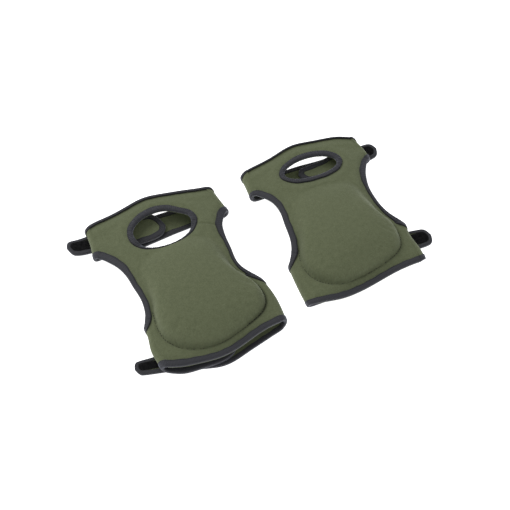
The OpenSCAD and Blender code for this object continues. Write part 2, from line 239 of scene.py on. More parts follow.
def distance_to(x, y, line, closed=False):
    """Distance in plan from points to a line."""
    ends = np.vstack([line, line[:1]]) if closed else line
    a, b = ends[:-1, :2], ends[1:, :2]
    best = np.full(np.shape(x), 1e9)
    for (ax, ay), (bx, by) in zip(a, b):
        dx, dy = bx - ax, by - ay
        t = np.clip(((x - ax) * dx + (y - ay) * dy) / (dx * dx + dy * dy + 1e-12), 0, 1)
        best = np.minimum(best, np.hypot(x - ax - t * dx, y - ay - t * dy))
    return best


side_edge = drawn([(100, side_high), (90, 67.5), (81, 62), (74, 51), (68, 38), (63.8, 20),
                   (62.5, 2), (62.5, -12), (64.5, -24), (69, -36), (75, -45.5), (82, -52),
                   (93, side_low)])
waist_at = int(np.argmin(side_edge[:, 0]))


def side_y(x, way):
    """Where the side's edge passes, above the waist with way -1 and below it with 1."""
    return np.interp(x, side_edge[waist_at::way, 0], side_edge[waist_at::way, 1])


def side_x(y):
    return np.interp(y, side_edge[::-1, 1], side_edge[::-1, 0], left=130, right=130)


def top_y(x):
    return corner + top_bow * (1 - (x / upper_half) ** 2)


def bottom_y(pad, x):
    return -corner - pad["lip"] - pad["low_bow"] * (1 - (x / lower_half) ** 2)


def fold_radius(half, bed):
    k = arch_radius - arch_top + bed
    b = 2 * k + 2 * arch_radius - 2 * half
    return (np.sqrt(b * b - 4 * (half ** 2 + k ** 2 - arch_radius ** 2)) - b) / 2


def arch_facts(y, bed):
    """Crest height, arch radius, and where the arch meets the fold, at this place on the leg."""
    half = between(lower_half, upper_half, (y - side_low) / (side_high - side_low))
    crest = arch_top - top_fall * eased((y - 50) / 68) - low_fall * eased((-66 - y) / 50)
    r = fold_radius(half, bed)
    a, b = half - r, bed + r - crest
    radius = (a * a + b * b - r * r) / (2 * (crest - bed - 2 * r))
    return crest, radius, radius * a / (radius - r)


cushion_side = [(0, 39), (22, 37.5), (38, 33), (48, 24), (52.5, 10), (53.5, -6), (54.5, -20),
                (58, -34), (63, -46), (66, -58), (65.5, -72), (60, -86), (49, -97),
                (33, -103.5), (16, -106), (0, -106.5)]
cushion_middle = np.array([0.0, -33.0])
cushion_loop = drawn(cushion_side + [(-x, y) for x, y in cushion_side[-2:0:-1]]
                     + [cushion_side[0]], 5)[:-1]


def within_cushion(x, y):
    """How far inside the cushion's sewn outline a point is."""
    far = distance_to(x, y, cushion_loop, closed=True)
    inside = np.zeros(np.shape(x), bool)
    for (ax, ay), (bx, by) in zip(cushion_loop, np.roll(cushion_loop, -1, axis=0)):
        crosses = (ay > y) != (by > y)
        inside ^= crosses & (x < (bx - ax) * (y - ay) / (by - ay + 1e-12) + ax)
    return np.where(inside, far, -far)


def oval(pad, grow=0.0):
    """The opening's outline to the outside of its binding, moved out by grow."""
    cx, cy, a, b = pad["opening"]
    t = np.linspace(0, 2 * math.pi, 240, endpoint=False)
    return np.stack([cx + (a + grow) * np.sign(np.cos(t)) * np.abs(np.cos(t)) ** 0.9,
                     cy + (b + grow) * np.sign(np.sin(t)) * np.abs(np.sin(t)) ** 0.95], 1)


def arch_height_at(pad, x, y):
    """Height of the sheet's outer face with no cushion in it."""
    z = np.zeros(np.shape(x))
    for bed, there in ((strap_bed, x < 0), (wing_bed, x >= 0)):
        crest, radius, meets = arch_facts(y, bed)
        flat = np.clip(np.abs(x), 0, meets + 3)
        across = crest - radius + np.sqrt(radius ** 2 - flat ** 2)
        ends = pad["low_sag"] * eased((-72 - y) / 48) + 2.5 * eased((y - 86) / 34)
        across = across - ends * np.clip(1 - (flat / meets) ** 2, 0, 1) ** 2
        z = np.where(there, across, z)
    return z


def cushion_swell(x, y, inset=0.0):
    """How far the foam lifts the sheet."""
    deep = within_cushion(x, y) - inset
    rise = between(12.0, 4.5, (y + 40) / 80)
    slope = between(13.0, 26.0, (y + 30) / 60)
    softness = between(0.8, 1.9, (y + 52) / 50)
    return rise * (1 - (1 - np.clip(deep / slope, 0, 1)) ** 2.2) ** softness


def rim_drop(pad, x, y):
    """The left opening's lower rim is pulled down behind the edge of the foam."""
    cx, cy, a, b = pad["opening"]
    near = np.hypot((x - cx) / a, (y - cy) / b)
    return pad["rim_drop"] * eased((1.06 - near) / 0.26) * eased((cy - 4 - y) / 16)


def face_height(pad, x, y):
    p = pad["phase"]
    uneven = (0.45 * np.sin(x / 24 + p) * np.sin(y / 33 + 2 * p)
              + 0.25 * np.sin((x + y) / 17 + 3 * p) + 0.15 * np.sin((x - 2 * y) / 13 + p))
    return arch_height_at(pad, x, y) + cushion_swell(x, y) - rim_drop(pad, x, y) + uneven


def face_point(pad, x, y):
    """Points on the cover's outer face and the directions straight out of it."""
    step = 0.4
    z = face_height(pad, x, y)
    slope_x = (face_height(pad, x + step, y) - face_height(pad, x - step, y)) / (2 * step)
    slope_y = (face_height(pad, x, y + step) - face_height(pad, x, y - step)) / (2 * step)
    return np.stack([x, y, z], -1), unit(np.stack([-slope_x, -slope_y, np.ones(np.shape(x))], -1))


def placed(side, points):
    """Pad millimetres to the shared frame in metres. Each pull moves the cloth round it a
    little, as hand-sewn and hand-laid cloth lies."""
    p = np.array(points, float)
    x, y = p[..., 0].copy(), p[..., 1].copy()
    for at_x, at_y, pull_x, pull_y, spread in pads[side]["pulls"]:
        near = np.exp(-((p[..., 0] - at_x) ** 2 + (p[..., 1] - at_y) ** 2) / spread ** 2)
        x += pull_x * near
        y += pull_y * near
    across = x * math.cos(toe_in) + y * math.sin(toe_in)
    along = y * math.cos(toe_in) - x * math.sin(toe_in)
    return np.stack([pads[side]["turn"] * (pad_middle + across), along + pads[side]["shift"],
                     p[..., 2]], -1) / 1000


def made_piece(name, side, points, faces, finish, cloth=None, sharp=60, recalculate=False):
    """A mesh piece from pad millimetres; cloth is the place of each point on the flat cloth."""
    if pads[side]["turn"] < 0:
        faces = [tuple(reversed(face)) for face in faces]
    mesh = bpy.data.meshes.new(name)
    mesh.from_pydata(placed(side, points).tolist(), [], faces)
    if recalculate:
        shape = bmesh.new()
        shape.from_mesh(mesh)
        bmesh.ops.recalc_face_normals(shape, faces=shape.faces)
        shape.to_mesh(mesh)
        shape.free()
    if cloth is not None:
        layer = mesh.uv_layers.new(name="cloth")
        corners = np.zeros(len(mesh.loops), np.int32)
        mesh.loops.foreach_get("vertex_index", corners)
        layer.data.foreach_set("uv", np.asarray(cloth, np.float32)[corners].ravel())
    mesh.shade_smooth()
    mesh.set_sharp_from_angle(angle=math.radians(sharp))
    mesh.materials.append(finish.material)
    piece = bpy.data.objects.new(name, mesh)
    bpy.context.scene.collection.objects.link(piece)
    return piece


def grid_faces(rows, columns):
    return [(r * columns + c, r * columns + c + 1, (r + 1) * columns + c + 1,
             (r + 1) * columns + c) for r in range(rows - 1) for c in range(columns - 1)]


def out_of(points, faces):
    """The direction straight out of a surface at each of its points."""
    quads = np.array(faces)
    cross = np.cross(points[quads[:, 2]] - points[quads[:, 0]],
                     points[quads[:, 3]] - points[quads[:, 1]])
    out = np.zeros_like(points)
    for k in range(4):
        np.add.at(out, quads[:, k], cross)
    return out / (np.linalg.norm(out, axis=1, keepdims=True) + 1e-12)


def thickened(points, faces, thick, cloth):
    """A closed sheet: the outer face given, an inner face under it, and walls round it."""
    count = len(points)
    inner = points - thick * out_of(points, faces)
    sides = {}
    for face in faces:
        for k in range(4):
            a, b = face[k], face[(k + 1) % 4]
            if (b, a) in sides:
                del sides[(b, a)]
            else:
                sides[(a, b)] = True
    walls = [(b, a, a + count, b + count) for a, b in sides]
    under = [tuple(i + count for i in reversed(face)) for face in faces]
    return np.vstack([points, inner]), list(faces) + under + walls, np.vstack([cloth, cloth])


swell_frames, swell_most = 20, 3.0


def swollen(name, points, faces, held):
    """Cloth blown up under light pressure, held where held is 1, with its move capped."""
    mesh = bpy.data.meshes.new(name)
    mesh.from_pydata((points / 1000).tolist(), [], faces)
    blown = bpy.data.objects.new(name, mesh)
    bpy.context.scene.collection.objects.link(blown)
    pins = blown.vertex_groups.new(name="sewn")
    for level in np.unique(held):
        pins.add(np.nonzero(held == level)[0].tolist(), float(level), "REPLACE")
    cloth = blown.modifiers.new("swell", "CLOTH")
    for key, value in {
            "quality": 6, "mass": 0.15, "tension_stiffness": 12, "compression_stiffness": 12,
            "shear_stiffness": 4, "bending_stiffness": 0.4, "use_pressure": True,
            "uniform_pressure_force": 14, "vertex_group_mass": "sewn"}.items():
        setattr(cloth.settings, key, value)
    cloth.settings.effector_weights.gravity = 0
    cloth.collision_settings.use_collision = False
    cloth.point_cache.frame_start, cloth.point_cache.frame_end = 1, swell_frames
    for moment in range(1, swell_frames + 1):
        bpy.context.scene.frame_set(moment)
    depsgraph = bpy.context.evaluated_depsgraph_get()
    settled = blown.evaluated_get(depsgraph).data
    moved = np.zeros(len(points) * 3, np.float32)
    settled.vertices.foreach_get("co", moved)
    moved = moved.reshape(-1, 3) * 1000 - points
    bpy.context.scene.frame_set(1)
    bpy.data.objects.remove(blown)
    far = np.linalg.norm(moved, axis=1, keepdims=True)
    return moved * np.minimum(1, swell_most / np.maximum(far, 1e-9))


# Moss-green jersey: a fine rib of loops with paler and darker yarn in it, and a
# soft bloom of fibre that catches light from the side.
def knitted(name, deep, middle, pale, bloom):
    yarn = Finish(name)
    cloth = yarn.node("UVMap", {"uv_map": "cloth"})
    along, across = (yarn.node("SeparateXYZ", {}, {0: cloth}, out=k) for k in (0, 1))
    loop_pitch = 0.0011
    turns = 2 * math.pi / loop_pitch
    wale = yarn.node("Math", {"operation": "SINE"}, {0: along * turns})
    course = yarn.node("Math", {"operation": "SINE"}, {0: across * (turns * 1.3)})
    loops = (wale * course) * 0.5 + 0.5
    fleck = yarn.node("TexNoise", {}, {"Vector": cloth, "Scale": 620.0, "Detail": 3.0,
                                      "Roughness": 0.75})
    mottle = yarn.node("TexNoise", {}, {"Vector": cloth, "Scale": 190.0, "Detail": 2.0})
    cloud = yarn.node("TexNoise", {}, {"Vector": cloth, "Scale": 22.0, "Detail": 2.0})
    mixed = fleck * 0.62 + mottle * 0.26 + loops * 0.12
    colour = yarn.node("ValToRGB", {"stops": [(0.34, deep), (0.5, middle), (0.66, pale)]},
                       {0: mixed})
    worn = yarn.blend(cloud * 0.30, colour, pale)
    bump = yarn.node("Bump", {}, {"Strength": 0.35, "Distance": 0.0006,
                                  "Height": loops * 0.5 + fleck * 0.5})
    yarn.shine(worn, bump, Roughness=0.93, Specular_IOR_Level=0.18, Sheen_Weight=bloom,
               Sheen_Roughness=0.45, Sheen_Tint=(0.80, 0.86, 0.70, 1))
    return yarn


jersey = knitted("moss_jersey", (0.078, 0.091, 0.047, 1), (0.104, 0.119, 0.064, 1),
                 (0.134, 0.150, 0.084, 1), 0.22)
groove_depth, groove_width, groove_sew = 1.6, 2.0, 1.15
recess_depth, puff_height, crease_depth, crease_width = 1.3, 0.6, 1.5, 1.2
covers, cover_flat = {}, (0.160, 0.246, 0.0345)
for side, pad in pads.items():
    rows, columns = 158, 112
    run_up = np.linspace(0, 1, rows)[:, None]
    run_across = np.linspace(0, 1, columns)[None, :]
    y_guess = -corner + 2 * corner * run_up
    x_low = -np.minimum(arch_facts(y_guess, strap_bed)[2], side_x(y_guess))
    x_high = np.minimum(arch_facts(y_guess, wing_bed)[2], side_x(y_guess))
    x = x_low + (x_high - x_low) * run_across
    y_low, y_high = bottom_y(pad, x), top_y(x)
    stretch = eased(np.abs(2 * run_up - 1) ** 1.5)
    y = y_guess + stretch * (np.where(run_up < 0.5, y_low + corner, y_high - corner))
    hole = oval(pad, -pad["ring"])
    cx, cy, a, b = pad["opening"]
    a, b = a - pad["ring"], b - pad["ring"]
    faces = grid_faces(rows, columns)
    x, y = x.ravel(), y.ravel()
    shape = np.abs((x - cx) / a) ** (2 / 0.92) + np.abs((y - cy) / b) ** (2 / 0.95)
    faces = [f for f in faces if sum(shape[i] < 1 for i in f) < 3]
    inside = shape < 1
    pull = np.where(inside, 1.0, 0.0) * (1 / np.maximum(shape, 0.05) ** 0.46 - 1)
    x, y = x + (x - cx) * pull, y + (y - cy) * pull
    used = np.unique(np.array(faces))
    renumber = np.full(len(x), -1)
    renumber[used] = np.arange(len(used))
    faces = [tuple(int(renumber[i]) for i in f) for f in faces]
    x, y = x[used], y[used]
    deep = within_cushion(x, y)
    from_edge = np.minimum.reduce([
        distance_to(x, y, side_edge), distance_to(x, y, side_edge * [-1, 1]), top_y(x) - y,
        y - bottom_y(pad, x), distance_to(x, y, hole, closed=True)])
    deeper = 1 + 1.3 * eased((pad["deep_side"] * x - 20) / 30) * (pad["turn"] < 0)
    groove = groove_depth * deeper * np.exp(-(deep / groove_width) ** 2) * eased((-6 - y) / 34)
    recess = recess_depth * np.exp(-np.clip(from_edge - 5.5, 0, 40) / 4.0)
    puff = puff_height * np.exp(-((from_edge - front_tape - 7) / 5) ** 2)
    from_crease = distance_to(x, y, np.array([(-43, 52), (-52, 48), (-61, 43)]))
    crease = crease_depth * np.exp(-(from_crease / crease_width) ** 2) * (pad["turn"] < 0)
    z = face_height(pad, x, y) - groove - crease - recess + puff * (deep < 0)
    points = np.stack([x, y, z], 1)
    held = np.round(1 - eased((deep - 1.0) / 6.0), 1)
    points = points + swollen(side + "_blown", points, faces, held)
    shell, shell_faces, cloth = thickened(points, faces, sheet_thick,
                                          np.stack([x, y], 1) / 1000)
    covers[side] = made_piece(side + "_front_cover", side, shell, shell_faces, jersey, cloth)
    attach(covers[side], side + "_pad")
    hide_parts(side + "_front_shell")

# --- Foam core, comfort foam and lining ---------------------------------------
# The cushion's filling: a domed block of grey closed-cell foam, a thin layer of
# cream open-cell foam under it, and a brushed jersey lining sewn round both.
def lens(outline_inset, upper, lower, rings=26):
    """A closed block inside the cushion's outline, between two height rules."""
    middle = cushion_middle
    rim, _ = spaced(cushion_loop, 2.6, closed=True)
    rim = rim + unit(middle - rim) * outline_inset
    share = 1 - (1 - np.linspace(0, 1, rings + 1)[1:]) ** 1.5
    flat = np.vstack([middle[None]] + [middle + (rim - middle) * s for s in share])
    count, total = len(rim), len(flat)
    top = np.column_stack([flat, upper(flat[:, 0], flat[:, 1])])
    bottom = np.column_stack([flat, lower(flat[:, 0], flat[:, 1])])
    edge = np.arange(total - count, total)
    faces = []
    for lift, turned in ((0, False), (total, True)):
        ring = [[lift + 1 + r * count + c for c in range(count)] for r in range(rings)]
        for c in range(count):
            d = (c + 1) % count
            made = [(lift, ring[0][d], ring[0][c])]
            made += [(ring[r][c], ring[r][d], ring[r + 1][d], ring[r + 1][c])
                     for r in range(rings - 1)]
            faces += [tuple(reversed(f)) for f in made] if turned else made
    faces += [(int(edge[c]), int(edge[(c + 1) % count]), int(edge[(c + 1) % count]) + total,
               int(edge[c]) + total) for c in range(count)]
    return np.vstack([top, bottom]), faces, np.vstack([flat, flat]) / 1000


def foamed(name, dark, light, cell):
    foam = Finish(name)
    place = foam.node("TexCoord", out=3)
    cells = foam.node("TexVoronoi", {"feature": "F1"}, {"Vector": place, "Scale": 1 / cell})
    grain = foam.node("TexNoise", {}, {"Vector": place, "Scale": 240.0, "Detail": 3.0})
    colour = foam.blend(cells * 0.7 + grain * 0.3, dark, light)
    bump = foam.node("Bump", {}, {"Strength": 0.5, "Distance": 0.0004, "Height": cells})
    foam.shine(colour, bump, Roughness=0.85, Specular_IOR_Level=0.25)
    return foam


core_foam = foamed("grey_closed_cell_foam", (0.06, 0.06, 0.066, 1), (0.13, 0.13, 0.14, 1), 0.0009)
soft_foam = foamed("cream_open_cell_foam", (0.45, 0.42, 0.33, 1), (0.70, 0.66, 0.54, 1), 0.0012)
lining_jersey = knitted("brushed_lining", (0.048, 0.058, 0.030, 1), (0.072, 0.084, 0.044, 1),
                        (0.098, 0.112, 0.060, 1), 0.30)
comfort_thick, lining_thick, core_gap, lining_gap = 4.0, 1.0, 0.9, 0.15
for side, pad in pads.items():
    def floor_of_core(x, y):
        return arch_height_at(pad, x, y) - sheet_thick - core_gap

    def lining_top(x, y):
        pouch = (comfort_thick + 0.7) * eased(within_cushion(x, y) / 8.0) ** 0.6
        return floor_of_core(x, y) - lining_gap - pouch

    blocks = [
        ("knee_core", "foam_core", core_foam, "core_foam", 4.5,
         lambda x, y: floor_of_core(x, y) + 0.4 + cushion_swell(x, y, 4.2), floor_of_core),
        ("comfort_layer", "comfort_foam", soft_foam, "soft_foam", 5.0,
         lambda x, y: floor_of_core(x, y) - 0.3,
         lambda x, y: floor_of_core(x, y) - 0.5 - comfort_thick
         * eased((within_cushion(x, y) - 4.8) / 6.0) ** 0.5),
        ("knee_lining_sheet", "knee_lining", lining_jersey, "lining", 0.2,
         lining_top, lambda x, y: lining_top(x, y) - lining_thick)]
    for label, node, finish, slot, inset, upper, lower in blocks:
        solid, faces, cloth = lens(inset, upper, lower)
        block = made_piece(f"{side}_{label}", side, solid, faces, finish, cloth,
                           recalculate=True)
        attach(block, side + "_pad")
        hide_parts(f"{side}_{node}")


# --- Edge bindings of the front ------------------------------------------------
# Ribbed elastic tape, 3 to 8 mm on each face, folded over every raw edge of the
# cover and sewn through. Round the knee opening the tape is gathered into fine pleats.
def binding_loop(edge_rise, inner_rise, width):
    """Outline of the folded tape, as inward run, outward run and height, from face to face."""
    over = [(1.0, -0.6), (0.99, 0.3), (0.93, 0.74), (0.8, 0.95), (0.55, 1.0), (0.3, 0.95),
            (0.12, 0.8)]
    half, none = sheet_thick / 2, np.zeros_like(width)
    loop = [(share * width, none, rise * edge_rise) for share, rise in over]
    for angle in (-62, -31, 0, 31, 62):
        bulge = math.cos(math.radians(angle))
        drop = -half - (half + 0.3) * math.sin(math.radians(angle))
        loop.append((none, 0.72 * bulge * (0.4 + 0.6 * edge_rise), none + drop))
    loop += [(share * width, none, -sheet_thick - rise * inner_rise)
             for share, rise in reversed(over)]
    outer_count = len(loop)
    loop += [(share * width, none, none + height) for share, height in (
        (0.9, 0.3 - sheet_thick), (0.12, 0.3 - sheet_thick), (0.05, -half), (0.12, -0.3),
        (0.9, -0.3))]
    return loop, outer_count


def bound(label, side, body, reach, outward, run, width, edge_rise, inner_rise,
          closed=False, pleat=0.02, pitch=3.4):
    """Sweeps the folded tape along an edge, and notes where it is sewn. reach(d) gives
    points d in from the edge."""
    phase = pads[side]["phase"]
    total = run[-1] + (run[1] - run[0])
    turns = max(1, round(total / pitch))
    lap = 2 * math.pi * run / total
    ripple = pleat * (np.cos(turns * lap) + 0.5 * np.sin(round(turns * 0.31) * lap + phase))
    wander = 1 + 0.035 * np.sin(round(total / 19) * lap + phase)
    loop, outer_count = binding_loop(edge_rise * (1 + ripple), inner_rise * (1 + 0.5 * ripple),
                                     width * wander)
    for height in (edge_rise * thread_lift, -sheet_thick - inner_rise * thread_lift):
        points, normal = reach(sewn_at * width)
        row = points + normal * np.reshape(height, (-1, 1))
        sewing_lines.setdefault(body, []).append(np.vstack([row, row[:1]]) if closed else row)
    rings = []
    for inward, outside, height in loop:
        points, normal = reach(inward)
        rings.append(points + outward * outside[:, None] + normal * height[:, None])
    solid = np.stack(rings, 1)
    count, around = solid.shape[:2]
    index = np.arange(count * around).reshape(count, around)
    faces = []
    for i in range(count if closed else count - 1):
        j = (i + 1) % count
        faces += [(int(index[i, k]), int(index[i, (k + 1) % around]),
                   int(index[j, (k + 1) % around]), int(index[j, k])) for k in range(around)]
    if not closed:
        for i in (0, count - 1):
            outer = [int(n) for n in index[i, :outer_count]]
            back = [int(n) for n in index[i, outer_count:]][::-1]
            rim = outer + back[::-1]
            faces.append(tuple(rim) if i else tuple(reversed(rim)))
    girth = np.r_[np.linspace(-1, 1, outer_count), np.linspace(1, -1, around - outer_count)]
    cloth = np.stack([np.repeat(run / 1000, around), np.tile(girth, count)], 1)
    piece = made_piece(f"{side}_{label}_tape", side, solid.reshape(-1, 3), faces, tape, cloth,
                       sharp=75, recalculate=True)
    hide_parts(f"{side}_{label}_binding")
    bindings.setdefault(body, []).append(piece)
    return piece


def plan_edge(pad, line, closed=False, step=0.55):
    """An edge drawn on the front, with the sheet to its left: reach, outward direction, run."""
    line, run = spaced(line, step, closed)
    ahead = unit(np.roll(line, -1, axis=0) - np.roll(line, 1, axis=0) if closed
                 else np.gradient(line, axis=0))
    left = np.stack([-ahead[:, 1], ahead[:, 0]], 1)

    def reach(inward):
        return face_point(pad, line[:, 0] + left[:, 0] * inward, line[:, 1] + left[:, 1] * inward)

    _, normal = reach(np.zeros(len(line)))
    outward = np.column_stack([-left, np.zeros(len(line))])
    return reach, unit(outward - normal * (outward * normal).sum(1, keepdims=True)), run


# Charcoal elastic: cross ribs, painted shade as a dark line along each side where the tape is sewn
# to the cover, a cool sheen.
tape = Finish("ribbed_charcoal_tape")
tape_cloth = tape.node("UVMap", {"uv_map": "cloth"})
tape_run, tape_girth = (tape.node("SeparateXYZ", {}, {0: tape_cloth}, out=k) for k in (0, 1))
tape_side = tape.node("Math", {"operation": "ABSOLUTE"}, {0: tape_girth})
rib_pitch = 0.0016
tape_rib = tape.node("Math", {"operation": "SINE"}, {0: tape_run * (2 * math.pi / rib_pitch)})
tape_rib = tape_rib * 0.5 + 0.5
tape_place = tape.node("TexCoord", out=3)
tape_fleck = tape.node("TexNoise", {}, {"Vector": tape_place, "Scale": 700.0, "Detail": 2.0})
tape_cloud = tape.node("TexNoise", {}, {"Vector": tape_place, "Scale": 60.0, "Detail": 2.0})
tape_tone = tape.blend(tape_rib * 0.45 + tape_fleck * 0.35 + tape_cloud * 0.2,
                       (0.009, 0.009, 0.012, 1), (0.044, 0.045, 0.053, 1))
# painted shade: the tape darkens towards both sides where it meets the cover, standing in for the
# shadow in the sewn seam
tape_seam_shade = tape.node("MapRange", {"interpolation_type": "SMOOTHSTEP"},
                      {0: tape_side, 1: 0.62, 2: 0.84})
tape_tone = tape.blend(tape_seam_shade * 0.85, tape_tone, (0.004, 0.004, 0.006, 1))
tape_bump = tape.node("Bump", {}, {"Strength": 0.6, "Distance": 0.0004,
                                   "Height": tape_rib * 0.7 + tape_fleck * 0.3})
tape.shine(tape_tone, tape_bump, Roughness=0.72, Specular_IOR_Level=0.35, Sheen_Weight=0.35,
           Sheen_Roughness=0.35, Sheen_Tint=(0.72, 0.76, 0.95, 1))



def folds_at(y):
    """How far out the cover reaches at its inner and outer side, at this place on the leg."""
    return [float(arch_facts(np.array(y), bed)[2]) for bed in (strap_bed, wing_bed)]


def side_run(which):
    """The part of the side's edge that belongs to the cover."""
    reach = np.where(side_edge[:, 1] > 0, folds_at(66.0)[which], folds_at(-45.0)[which])
    return side_edge[side_edge[:, 0] <= reach]


bindings, sewing_lines = {}, {}
face_rise, hidden_rise, sewn_at, thread_lift = 1.1, 0.7, 0.86, 0.93
for side, pad in pads.items():
    (top_in, top_out), (low_in, low_out) = folds_at(corner), folds_at(-corner)
    across_top = np.linspace(top_out, -top_in, 90)
    across_low = np.linspace(-low_in, low_out, 90)
    edges = {
        "top": (np.stack([across_top, top_y(across_top)], 1), pad["top_tape"], {}),
        "bottom": (np.stack([across_low, bottom_y(pad, across_low)], 1), pad["low_tape"], {}),
        "outer_side": (side_run(1)[::-1], pad["waist_tape"][0], {"pleat": 0.05}),
        "inner_side": (side_run(0) * [-1, 1], pad["waist_tape"][1], {"pleat": 0.05}),
        "opening": (oval(pad, -pad["ring"])[::-1], pad["ring"],
                    {"closed": True, "pleat": 0.28, "pitch": 2.3})}
    for label, (line, width, gather) in edges.items():
        reach, outward, run = plan_edge(pad, line, label == "opening")
        if "side" in label:
            along = np.interp(run, np.linspace(0, run[-1], len(line)), line[:, 1])
            width = between(width, front_tape, (abs(along + 8) - 12) / 40)
        tape_piece = bound(label, side, side + "_pad", reach, outward, run, width, face_rise,
                           hidden_rise, **gather)
        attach(tape_piece, side + "_pad")


# --- Wraps ---------------------------------------------------------------------
# Each band goes on round the leg: a long strap from the inner side that ends in a
# tab, and a short wing from the outer side that lies on it. Same jersey sheet, cut
# in one with the cover, so it starts where the fold leaves the arch.
def strap_edges(kind, pad):
    """Lower and upper edge of a wrap in plan, each from the fold to the tip."""
    dip, (h, low_h) = pad["dip"], pad["tab_half"]
    (tab, low_tab), (reach, low_reach) = pad["tab"], pad["tab_reach"]
    (strap_up, strap_under), (wing_up, wing_under) = pad["strap_rise"], pad["wing_rise"]
    start = -corner + 0.6 * pad["lip"]

    def wrap_low(x):
        return start - dip * (1 - (x / (lower_half + 6)) ** 2)

    def tab_end(middle, tip, h, side):
        return [(tip - h, middle + side * h), (tip - 0.3 * h, middle + side * 0.74 * h),
                (tip, middle)]

    shapes = {
        "upper_strap": (
            [(-100, side_high), (-88, side_high), (-50, 67.5 + 0.6 * strap_under),
             (-20, 65 + strap_under), (15, 63.5 + strap_under), (45, 64 + strap_under),
             (75, tab - h - 2)]
            + tab_end(tab, reach, h, -1),
            [(-100, corner), (-88, corner), (-50, 106 + 0.6 * strap_up), (-20, 101 + strap_up),
             (15, 98.5 + strap_up), (45, 98.5 + 0.4 * strap_up), (75, tab + h)]
            + tab_end(tab, reach, h, 1)),
        "upper_wing": (
            [(100, side_high), (88, side_high), (60, 67 + 0.6 * wing_under), (30, 65 + wing_under),
             (8, 64.5 + wing_under), (-4, 69.5 + wing_under), (-9, 81.5)],
            [(100, corner), (88, corner), (60, 106 + 0.6 * wing_up), (30, 101 + wing_up),
             (8, 98.5 + wing_up), (-4, 93.5 + 0.6 * wing_up), (-9, 81.5)]),
        "lower_strap": (
            [(-93, start), (-81, start)] + [(x, wrap_low(x)) for x in (-50, -20, 10)]
            + [(40, (2 * wrap_low(40) + low_tab - low_h) / 3), (65, low_tab - low_h - 3)]
            + tab_end(low_tab, low_reach, low_h, -1),
            [(-93, side_low), (-81, side_low), (-50, -57 - dip * 0.4), (-10, -62 - dip * 0.7),
             (30, -63 - dip * 0.8), (65, low_tab + low_h + 2)]
            + tab_end(low_tab, low_reach, low_h, 1)),
        "lower_wing": (
            [(93, start), (81, start), (55, wrap_low(55) + 1), (20, wrap_low(20) + 3),
             (0, wrap_low(0) + 5), (-11, wrap_low(-11) + 13), (-14, -82 - dip * 0.8)],
            [(93, side_low), (81, side_low), (55, -57 - dip * 0.3), (25, -61 - dip * 0.5),
             (4, -64 - dip * 0.6), (-9, -70 - dip * 0.7), (-14, -82 - dip * 0.8)])}
    return [drawn(points) for points in shapes[kind]]


def wrap_facts(side, kind):
    """The wrap's run in section, with its edges: points, outward directions, edge heights."""
    pad = pads[side]
    upper, strap = kind.startswith("upper"), kind.endswith("strap")
    half, band_y = (upper_half, corner) if upper else (lower_half, -corner)
    bed, way = (strap_bed, -1) if strap else (wing_bed, 1)
    r = fold_radius(half, bed)
    _, radius, _ = arch_facts(np.array(band_y), bed)
    start = math.asin((half - r) / (radius - r))
    low, high = strap_edges(kind, pad)
    angle = np.r_[start, start + 0.02, np.linspace(start + 0.1, math.pi, 17)]
    flat_from = way * (half - r)
    flat_run = abs(low[-1, 0] - flat_from)
    step = np.r_[np.arange(2.5, flat_run - 12, 2.5),
                 flat_run - 12 * (1 - np.sin(np.linspace(0.06, 0.5 * math.pi, 12))) - 0.12]
    x = np.r_[way * (half - r + r * np.sin(angle)), flat_from - way * step]
    z = np.r_[bed + r + r * np.cos(angle), np.full(len(step), bed)]
    out = np.column_stack([np.r_[way * np.sin(angle), 0 * step], 0 * x,
                           np.r_[np.cos(angle), -1 + 0 * step]])
    turn = np.r_[(angle - start) / (math.pi - start), 1 + 0 * step]
    order = slice(None) if strap else slice(None, None, -1)
    cut_low = np.interp(x, low[order, 0], low[order, 1])
    cut_high = np.interp(x, high[order, 0], high[order, 1])
    if upper:
        face_low, face_high = side_y(np.abs(x), -1), top_y(x)
    else:
        face_low, face_high = bottom_y(pad, x), side_y(np.abs(x), 1)
    share = eased(turn)
    return {"x": x, "z": z, "out": out, "low": face_low + (cut_low - face_low) * share,
            "high": face_high + (cut_high - face_high) * share, "turn": turn, "r": r, "bed": bed}


def blend_span(facts, strap):
    """Where the fold leaves the pad and where it belongs to the wrap, as heights in metres."""
    leaves = facts["bed"] + facts["r"] + 0.95 * (facts["r"] - sheet_thick)
    joins = 5.0 if strap else 10.5
    return (0, 0, leaves / 1000), (0, 0, joins / 1000)


